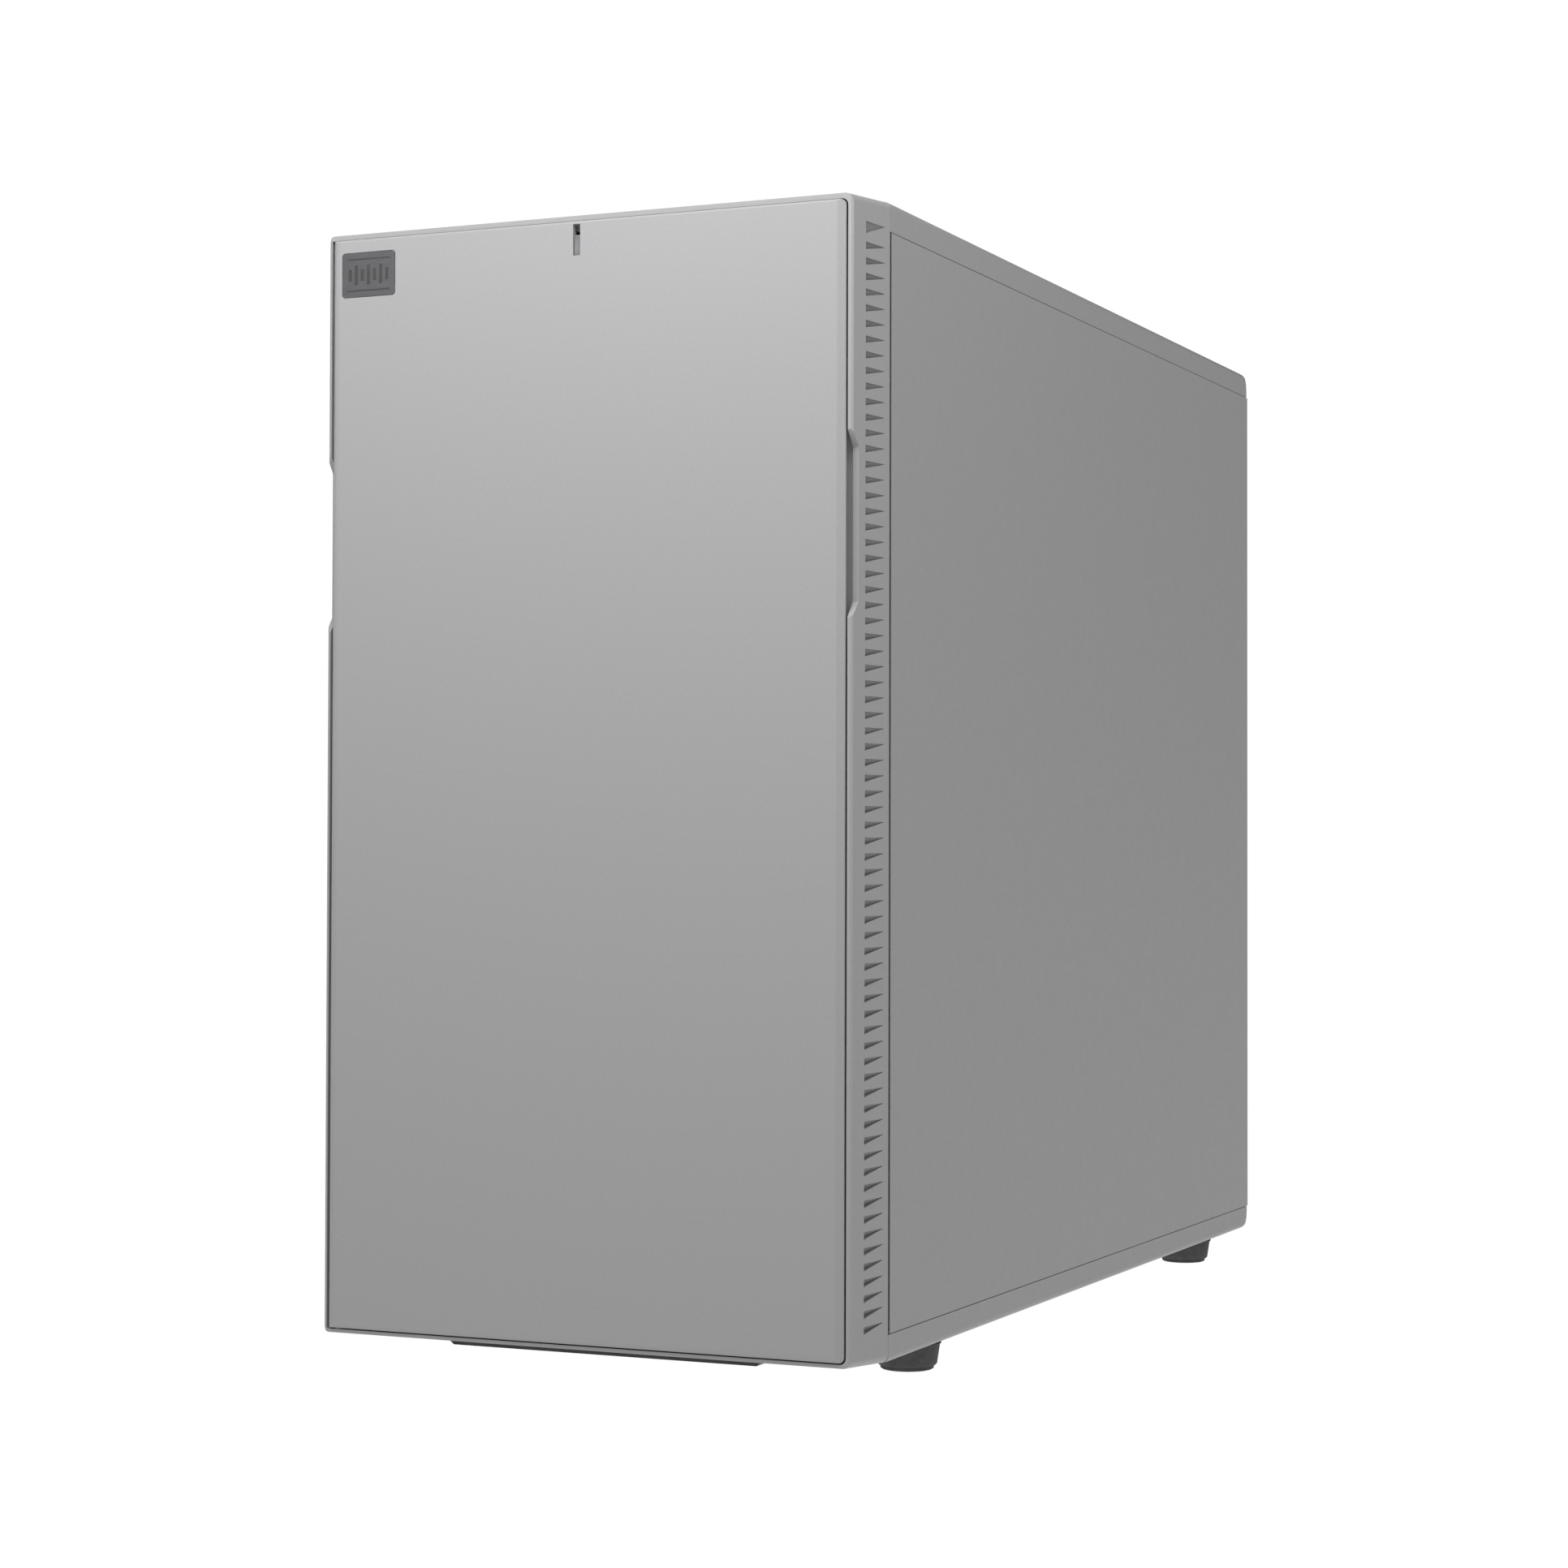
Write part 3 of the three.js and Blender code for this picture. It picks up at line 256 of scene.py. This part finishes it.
def placeCamera(look):
    data = bpy.data.cameras.new("camera")
    data.sensor_width = 36
    data.lens = look["lens"]
    data.shift_x, data.shift_y = look["shift"]
    data.clip_start = 0.05
    made = bpy.data.objects.new("camera", data)
    bpy.context.scene.collection.objects.link(made)
    turn, tilt, roll = look["turn"], look["tilt"], look["roll"]
    forward = Vector((-math.sin(turn) * math.cos(tilt), math.cos(turn) * math.cos(tilt), math.sin(tilt)))
    right = Vector((math.cos(turn), math.sin(turn), 0))
    up = right.cross(forward)
    sideways = math.cos(roll) * right + math.sin(roll) * up
    upwards = -math.sin(roll) * right + math.cos(roll) * up
    spin = Matrix((sideways, upwards, -forward)).transposed()
    made.matrix_world = Matrix.Translation(look["place"]) @ spin.to_4x4()
    bpy.context.scene.camera = made


placeCamera(cameraLook)

# Studio: the tower stands on a glowing white table. A near strip light washes the door from above, and a
# weak one washes the side.
studio = {
    "doorWash": {"place": (0.03, -0.62, 0.85), "aim": (0, -0.262, 0.43), "size": (0.6, 0.2), "watts": 5.5},
    "sideWash": {"place": (0.55, -0.5, 0.95), "aim": (0.117, -0.2, 0.44), "size": (0.3, 0.3), "watts": 1.6},
    "sky": 0.11, "band": 0.38, "bandTop": (0.28, 0.45),
    "backdrop": 0.54, "backdropEdge": (0.8, 0.93), "facing": (-0.403, 0.915, 0),
    "table": "#1c1c1c", "tableGlow": 1.0, "tableHalf": 30,
}


def softLight(name, look):
    data = bpy.data.lights.new(name, "AREA")
    data.shape = "RECTANGLE"
    data.size, data.size_y = look["size"]
    data.energy = look["watts"]
    made = bpy.data.objects.new(name, data)
    bpy.context.scene.collection.objects.link(made)
    made.location = look["place"]
    made.rotation_euler = (Vector(look["aim"]) - Vector(look["place"])).to_track_quat("-Z", "Y").to_euler()
    made.visible_camera = False


def buildSurround(look):
    # pale all round near the horizon, white behind the tower, dim overhead
    world = bpy.data.worlds.new("surround")
    bpy.context.scene.world = world
    world.use_nodes = True
    tree = world.node_tree
    way = addNode(tree, "ShaderNodeTexCoord").outputs["Generated"]
    height = addNode(tree, "ShaderNodeSeparateXYZ", Vector=way).outputs[2]
    soft = {"interpolation_type": "SMOOTHSTEP"}
    start, end = look["bandTop"]
    low = addNode(
        tree, "ShaderNodeMapRange", soft,
        Value=height, From_Min=start, From_Max=end, To_Min=1.0, To_Max=0.0,
    ).outputs[0]
    ahead = addNode(tree, "ShaderNodeVectorMath", {"operation": "DOT_PRODUCT"}, i0=way, i1=look["facing"])
    start, end = look["backdropEdge"]
    behind = addNode(
        tree, "ShaderNodeMapRange", soft, Value=ahead.outputs["Value"], From_Min=start, From_Max=end,
        To_Min=look["band"], To_Max=look["band"] + look["backdrop"],
    ).outputs[0]
    glow = addNode(tree, "ShaderNodeMath", {"operation": "MULTIPLY_ADD"}, i0=low, i1=behind, i2=look["sky"])
    # the lens itself sees plain white in every direction
    seen = addNode(tree, "ShaderNodeLightPath").outputs["Is Camera Ray"]
    shown = addNode(tree, "ShaderNodeMath", {"operation": "MAXIMUM"}, i0=glow.outputs[0], i1=seen)
    tree.links.new(shown.outputs[0], tree.nodes["Background"].inputs["Strength"])
    tree.nodes["Background"].inputs["Color"].default_value = (1, 1, 1, 1)


def buildStudio(look):
    softLight("doorWash", look["doorWash"])
    softLight("sideWash", look["sideWash"])
    buildSurround(look)
    floorMesh = bpy.data.meshes.new("floor")
    half = look["tableHalf"]
    corners = [(-half, -half, 0), (half, -half, 0), (half, half, 0), (-half, half, 0)]
    floorMesh.from_pydata(corners, [], [(0, 1, 2, 3)])
    floor = bpy.data.objects.new("floor", floorMesh)
    bpy.context.scene.collection.objects.link(floor)
    acrylic = startMaterial(
        "tableOpalAcrylicBacklit", look["table"], 0.9,
        Specular_IOR_Level=0.1, Emission_Color=(1, 1, 1, 1), Emission_Strength=look["tableGlow"],
    )[0]
    floorMesh.materials.append(acrylic)


buildStudio(studio)
bpy.context.scene.view_settings.view_transform = "Standard"
print("camera and light placed")

# Only points further out than this are cut by a knurl, in millimetres
knurlFrom = 3

# Points closer than weldMm are joined, and corners sharper than rolledFromDegrees are rolled over
weldMm = 0.02
rolledFromDegrees = 38


def roundedBlock(bm, low, high, radius, segments=2):
    # a box with every edge rolled over, added to bm; corners are in millimetres
    low, high = Vector(low) * mm, Vector(high) * mm
    made = bmesh.ops.create_cube(bm, size=1.0)["verts"]
    for v in made:
        v.co = Vector((low[i] + (v.co[i] + 0.5) * (high[i] - low[i]) for i in range(3)))
    edges = list({e for v in made for e in v.link_edges})
    bmesh.ops.bevel(
        bm, geom=edges, offset=radius * mm, segments=segments, profile=0.5, affect="EDGES", clamp_overlap=True
    )


def turned(bm, profile, origin, axis="z", segments=48, knurl=0.0):
    # a turned shape, closed on its axis; profile is (radius, height) pairs in millimetres, and knurl is how
    # far every second line is cut in
    rings = []
    for radius, height in profile:
        ring = []
        count = 1 if radius == 0 else segments
        for i in range(count):
            angle = 2 * math.pi * i / segments
            r = radius - (knurl if i % 2 and radius > knurlFrom else 0)
            a, b = r * math.cos(angle), r * math.sin(angle)
            spot = {"z": (a, b, height), "y": (a, height, -b), "x": (height, a, b)}[axis]
            ring.append(bm.verts.new((Vector(spot) + Vector(origin)) * mm))
        rings.append(ring)
    for one, two in zip(rings, rings[1:]):
        for i in range(segments):
            j = (i + 1) % segments
            corners = [one[i % len(one)], one[j % len(one)], two[j % len(two)], two[i % len(two)]]
            unique = list(dict.fromkeys(corners))
            if len(unique) > 2:
                bm.faces.new(unique)


def finishPiece(name, bm, material, body, smoothAngle=35):
    bmesh.ops.recalc_face_normals(bm, faces=bm.faces)
    mesh = bpy.data.meshes.new(name)
    bm.to_mesh(mesh)
    bm.free()
    mesh.polygons.foreach_set("use_smooth", [True] * len(mesh.polygons))
    mesh.set_sharp_from_angle(angle=math.radians(smoothAngle))
    mesh.materials.append(paint[material])
    made = bpy.data.objects.new(name, mesh)
    bpy.context.scene.collection.objects.link(made)
    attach(made, body)
    return made


def spot(node):
    low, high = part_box(node)
    return Vector(low) / mm, Vector(high) / mm


# What each carried-over solid is made of, and how far its edges are rolled over, in millimetres
solidLooks = {
    "palePlastic": {
        "front_bezel": 0.25, "front_door": 0.45, "power_button": 0.5, "fan_speed_slider": 0.3,
        "drive_tray": 0.4,
    },
    "paleSteel": {
        "base_tray": 0.5, "top_cover": 0.8, "top_vent_cover_front": 0.4, "top_vent_cover_rear": 0.4,
        "rear_panel": 0.25, "drive_cage": 0.2, "left_side_panel": 1.0, "right_side_panel": 1.0,
    },
    "blackSteel": {
        "top_frame": 0, "front_frame": 0, "motherboard_tray": 0, "optical_bay_cage": 0, "psu_case": 0.4,
    },
    "blackPlastic": {
        "bay_cover_lower": 0.5, "bay_cover_upper": 0.5, "front_filter_cover": 0.4, "front_fan_frame": 0.4,
        "rear_fan_frame": 0.4, "cpu_fan_frame": 0, "mains_inlet": 0.4, "switch_housing": 0.3,
        "psu_switch": 0.4, "graphics_card": 0.5, "bottom_filter": 0.3, "io_module": 0.3, "reset_button": 0.3,
    },
    "foam": {"door_pad": 0.6, "left_panel_pad": 0, "right_panel_pad": 0},
    "rubber": {"main_power_cable": 0},
    "bareSteel": {"slot_blanks": 0.2, "rear_usb_ports": 0.3, "rear_sockets": 0.3, "io_shield": 0.2},
    "aluminium": {"hard_drive": 0.5, "cpu_cooler": 0, "memory_module_a": 0, "memory_module_b": 0},
    "badge": {"badge_plate": 0.15},
    "circuit": {"motherboard": 0},
    "lens": {"light_pipe": 0.2},
}


def dressSolids(looks):
    for material, members in looks.items():
        for name, roll in members.items():
            solid = nodes[name]
            solid.data.materials.clear()
            solid.data.materials.append(paint[material])
            if not roll:
                continue
            weld = solid.modifiers.new("weld", "WELD")
            weld.merge_threshold = weldMm * mm
            edge = solid.modifiers.new("rolledEdge", "BEVEL")
            edge.width = roll * mm
            edge.segments = 2
            edge.limit_method = "ANGLE"
            edge.angle_limit = math.radians(rolledFromDegrees)
            edge.harden_normals = False
            edge.use_clamp_overlap = True


dressSolids(solidLooks)
print("solids dressed")

# Feet: a moulded rubber cone that widens upwards, standing on a narrower ring
footLook = {
    "top": 13.5, "waist": 11.9, "waistAt": 2.4, "ring": 10.6, "ringTall": 1.6, "grooveTop": 1.7,
    "segments": 64,
}


def makeFeet(look):
    for name in ("foot_front_left", "foot_front_right", "foot_rear_left", "foot_rear_right"):
        low, high = spot(name)
        middle = (low + high) / 2
        tall = high[2]
        bm = bmesh.new()
        ring, waist, top = look["ring"], look["waist"], look["top"]
        profile = [
            (0, 0), (ring - 0.8, 0), (ring, 0.5), (ring, look["ringTall"]), (waist - 0.6, look["grooveTop"]),
            (waist, look["waistAt"]), (top - 0.5, tall - 0.9), (top, tall - 0.4), (top, tall), (0, tall),
        ]
        turned(bm, profile, (middle[0], middle[1], 0), "z", look["segments"])
        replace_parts(finishPiece(name + "_turned", bm, "rubber", "case"), name)


makeFeet(footLook)

# Thumbscrews: knurled heads with a dished face and a cross slot
screwLook = {
    "radius": 5.4, "knurl": 0.35, "segments": 56, "dish": 3.4, "dishRim": 3.9, "headDeep": 5.2,
    "shank": 2.0, "tip": 1.4, "reach": 15, "slotHalf": (2.7, 0.5), "slotDepth": (1.6, 0.75),
}


def makeThumbscrews(look):
    for side in ("left", "right"):
        for level in ("lower", "upper"):
            name = f"{side}_thumbscrew_{level}"
            low, high = spot(name)
            middle = (low + high) / 2
            bm = bmesh.new()
            r, y, shank = look["radius"], high[1], look["shank"]
            under, end = y - look["headDeep"], y - look["reach"]
            profile = [
                (0, y - 1.0), (look["dish"], y - 0.9), (look["dishRim"], y), (r - 0.5, y), (r, y - 0.5),
                (r, y - 4.6), (r - 0.6, under), (shank, under), (shank, y - 14.4), (look["tip"], end),
                (0, end),
            ]
            turned(bm, profile, (middle[0], 0, middle[2]), "y", look["segments"], look["knurl"])
            deep, shallow = look["slotDepth"]
            for wide, tall in (look["slotHalf"], look["slotHalf"][::-1]):
                roundedBlock(
                    bm,
                    (middle[0] - wide, y - deep, middle[2] - tall),
                    (middle[0] + wide, y - shallow, middle[2] + tall),
                    0.15,
                )
            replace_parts(finishPiece(name + "_knurled", bm, "bareSteel", side + "_panel"), name)


makeThumbscrews(screwLook)

# Fan rotors with swept, twisted blades; lengths in millimetres
caseFan = {"axis": "y", "blades": 7, "radius": 65.5, "hub": 21.5, "depth": 17, "paint": "palePlastic"}
darkFan = {"blades": 9, "paint": "blackPlastic"}
rotors = {
    "front_fan_rotor": caseFan,
    "rear_fan_rotor": caseFan,
    "cpu_fan_rotor": {**darkFan, "axis": "y", "radius": 55, "hub": 19.5, "depth": 17},
    "psu_fan_rotor": {**darkFan, "axis": "z", "radius": 59, "hub": 19.5, "depth": 13},
    "gpu_fan_rotor": {**darkFan, "axis": "z", "radius": 38, "hub": 14, "depth": 11},
}
bladeLook = {
    "halfThick": 0.55, "rows": 9, "columns": 7, "rootIn": 0.8, "pitch": 48, "untwist": 22, "chord": 0.98,
    "taper": 0.18, "sweep": 0.34, "depthShare": 0.86, "camber": 0.1, "clear": 0.6,
}


def makeRotor(name, look, blade):
    low, high = spot(name)
    middle = (low + high) / 2
    if look["axis"] == "y":
        middle[1] = high[1] - look["depth"] / 2
    half = look["depth"] / 2
    bm = bmesh.new()
    hub = look["hub"]
    profile = [
        (0, -half), (hub * 0.55, -half), (hub * 0.6, -half + 0.5), (hub - 1.5, -half + 0.5), (hub, -half + 2),
        (hub, half - 0.4), (hub - 1, half), (0, half),
    ]
    turned(bm, profile, middle, look["axis"])
    radial, chordwise = blade["rows"], blade["columns"]
    root = blade["rootIn"]
    for k in range(look["blades"]):
        sheets = []
        for face in (-blade["halfThick"], blade["halfThick"]):
            rows = []
            for i in range(radial + 1):
                t = i / radial
                r = hub - root + (look["radius"] - hub + root) * t
                pitch = math.radians(blade["pitch"] - blade["untwist"] * t)
                chord = 2 * math.pi * r / look["blades"] * (blade["chord"] - blade["taper"] * t)
                tallest = min(chord * math.sin(pitch), look["depth"] * blade["depthShare"])
                row = []
                for j in range(chordwise + 1):
                    s = j / chordwise - 0.5
                    start = 2 * math.pi * k / look["blades"] + blade["sweep"] * t * t
                    swing = start + s * chord * math.cos(pitch) / r
                    rise = s * tallest + (0.25 - s * s) * chord * blade["camber"]
                    rise = max(-half + blade["clear"], min(half - blade["clear"], rise)) + face
                    a, b = r * math.cos(swing), r * math.sin(swing)
                    at = (a, rise, -b) if look["axis"] == "y" else (a, b, rise)
                    row.append(bm.verts.new((Vector(at) + middle) * mm))
                rows.append(row)
            sheets.append(rows)
        front, rear = sheets
        for rows, flip in ((front, False), (rear, True)):
            for i in range(radial):
                for j in range(chordwise):
                    quad = [rows[i][j], rows[i + 1][j], rows[i + 1][j + 1], rows[i][j + 1]]
                    bm.faces.new(quad[::-1] if flip else quad)
        rim = [(i, 0) for i in range(radial)] + [(radial, j) for j in range(chordwise)]
        rim += [(i, chordwise) for i in range(radial, 0, -1)] + [(0, j) for j in range(chordwise, 0, -1)]
        for (i, j), (p, q) in zip(rim, rim[1:] + rim[:1]):
            bm.faces.new([front[i][j], front[p][q], rear[p][q], rear[i][j]])
    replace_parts(finishPiece(name + "_swept", bm, look["paint"], name, smoothAngle=50), name)


for rotorName, rotorLook in rotors.items():
    makeRotor(rotorName, rotorLook, bladeLook)
print("feet, screws and rotors made")

# Badge: two thin rules and a generic row of upright bars, short and tall by turns
badgeLook = {
    "margin": 2.2, "rule": 0.6, "bars": 7, "barWide": 1.5, "shortHalf": 2.4, "tallerBy": 1.5,
    "proud": 0.12, "sunk": 0.3,
}


def makeBadge(look):
    low, high = spot("badge_plate")
    left, right = low[0] + look["margin"], high[0] - look["margin"]
    bottom, top = low[2] + look["margin"], high[2] - look["margin"]
    y0, y1 = low[1] - look["proud"], low[1] + look["sunk"]
    bm = bmesh.new()
    for z0, z1 in ((top - look["rule"], top), (bottom, bottom + look["rule"])):
        roundedBlock(bm, (left, y0, z0), (right, y1, z1), 0.08, 1)
    pitch = (right - left) / look["bars"]
    middle = (bottom + top) / 2
    half = look["barWide"] / 2
    for i in range(look["bars"]):
        x = left + (i + 0.5) * pitch
        tall = look["shortHalf"] + look["tallerBy"] * (i % 2)
        roundedBlock(bm, (x - half, y0, middle - tall), (x + half, y1, middle + tall), 0.1, 1)
    finishPiece("badge_pattern", bm, "badgeInk", "door")


makeBadge(badgeLook)

# Dust meshes: thin sheets held in the windows of their frames
meshLook = {"inset": 5, "pullTab": 12, "behindCover": (0.3, 0.9), "belowTrayTop": (1.4, 0.9)}


def meshSheet(name, low, high, body):
    bm = bmesh.new()
    roundedBlock(bm, low, high, 0.1, 1)
    finishPiece(name, bm, "mesh", body)


def makeMeshes(look):
    inset = look["inset"]
    low, high = spot("front_filter_cover")
    near, far = look["behindCover"]
    meshSheet(
        "front_filter_mesh",
        (low[0] + inset, high[1] + near, low[2] + inset),
        (high[0] - inset, high[1] + far, high[2] - inset),
        "case",
    )
    low, high = spot("bottom_filter")
    deep, shallow = look["belowTrayTop"]
    meshSheet(
        "bottom_filter_mesh",
        (low[0] + inset, low[1] + look["pullTab"], high[2] - deep),
        (high[0] - inset, high[1] - inset, high[2] - shallow),
        "filter_drawer",
    )


makeMeshes(meshLook)

# Behind each column of louvres a pale baffle, and in the gap beside each panel a dark foam strip: painted
# shade that stands for the gap's shadow
innerEdge = {
    "baffleX": (110.9, 111.7), "baffleY": (-252.0, -236.5),
    "gapShadeX": (111.8, 116.9), "gapShadeY": (-232.8, -231.25), "above": 1, "below": 0.5,
}


def makeInnerEdges(look):
    panelLow, panelHigh = spot("right_side_panel")
    for side, way in (("left", -1), ("right", 1)):
        # the dark foam strip in each gap stands in for the gap's shadow: painted shade
        for part, material, roll in (("baffle", "palePlastic", 0.2), ("gapShade", "foam", 0.3)):
            across = sorted(way * x for x in look[part + "X"])
            depth = look[part + "Y"]
            bm = bmesh.new()
            low = (across[0], depth[0], panelLow[2] + look["above"])
            high = (across[1], depth[1], panelHigh[2] - look["below"])
            roundedBlock(bm, low, high, roll, 1)
            finishPiece(f"{side}_front_{part}", bm, material, "case")


makeInnerEdges(innerEdge)

# Small hardware: pan-head screws on the back, and the plastic tongues inside the ports
backLook = {
    "screwRadius": 3.4, "headHeight": 2.0, "besidePower": 4, "powerLow": 6, "powerHigh": 4,
    "fanAcross": 8, "fanUp": 5,
    "portBottoms": (296, 316, 336), "portLefts": (45, 60), "topPortLefts": (-44, -26),
}


def makeBackHardware(look):
    y = spot("rear_panel")[1][1]
    low, high = spot("psu_case")
    beside = look["besidePower"]
    places = [
        (x, z)
        for z in (low[2] + look["powerLow"], high[2] - look["powerHigh"])
        for x in (low[0] - beside, high[0] + beside)
    ]
    low, high = spot("rear_fan_frame")
    places += [
        (x, z)
        for x in (low[0] + look["fanAcross"], high[0] - look["fanAcross"])
        for z in (low[2] + look["fanUp"], high[2] - look["fanUp"])
    ]
    bm = bmesh.new()
    r, h = look["screwRadius"], look["headHeight"]
    profile = [
        (0, h - 1.1), (1.2, h - 1.0), (1.5, h), (r - 1.4, h - 0.1), (r - 0.4, h - 0.8), (r, h - 1.6),
        (r, -0.1), (0, -0.1),
    ]
    for x, z in places:
        turned(bm, profile, (x, y, z), "y", 32)
    finishPiece("back_screws", bm, "bareSteel", "case")
    bm = bmesh.new()
    mouth = spot("rear_usb_ports")[1][1]
    for z in look["portBottoms"]:
        for x in look["portLefts"]:
            roundedBlock(bm, (x + 1.0, mouth - 11.5, z + 1), (x + 2.6, mouth - 1.5, z + 12), 0.2)
    finishPiece("back_port_tongues", bm, "portPlastic", "case")
    bm = bmesh.new()
    low, high = spot("io_module")
    middle = (low[1] + high[1]) / 2
    for x in look["topPortLefts"]:
        roundedBlock(bm, (x + 1, middle - 1.9, high[2] - 8.5), (x + 12, middle - 0.3, high[2] - 1.2), 0.2)
    finishPiece("top_port_tongues", bm, "portPlastic", "case")


makeBackHardware(backLook)
print("badge, meshes and small hardware made")
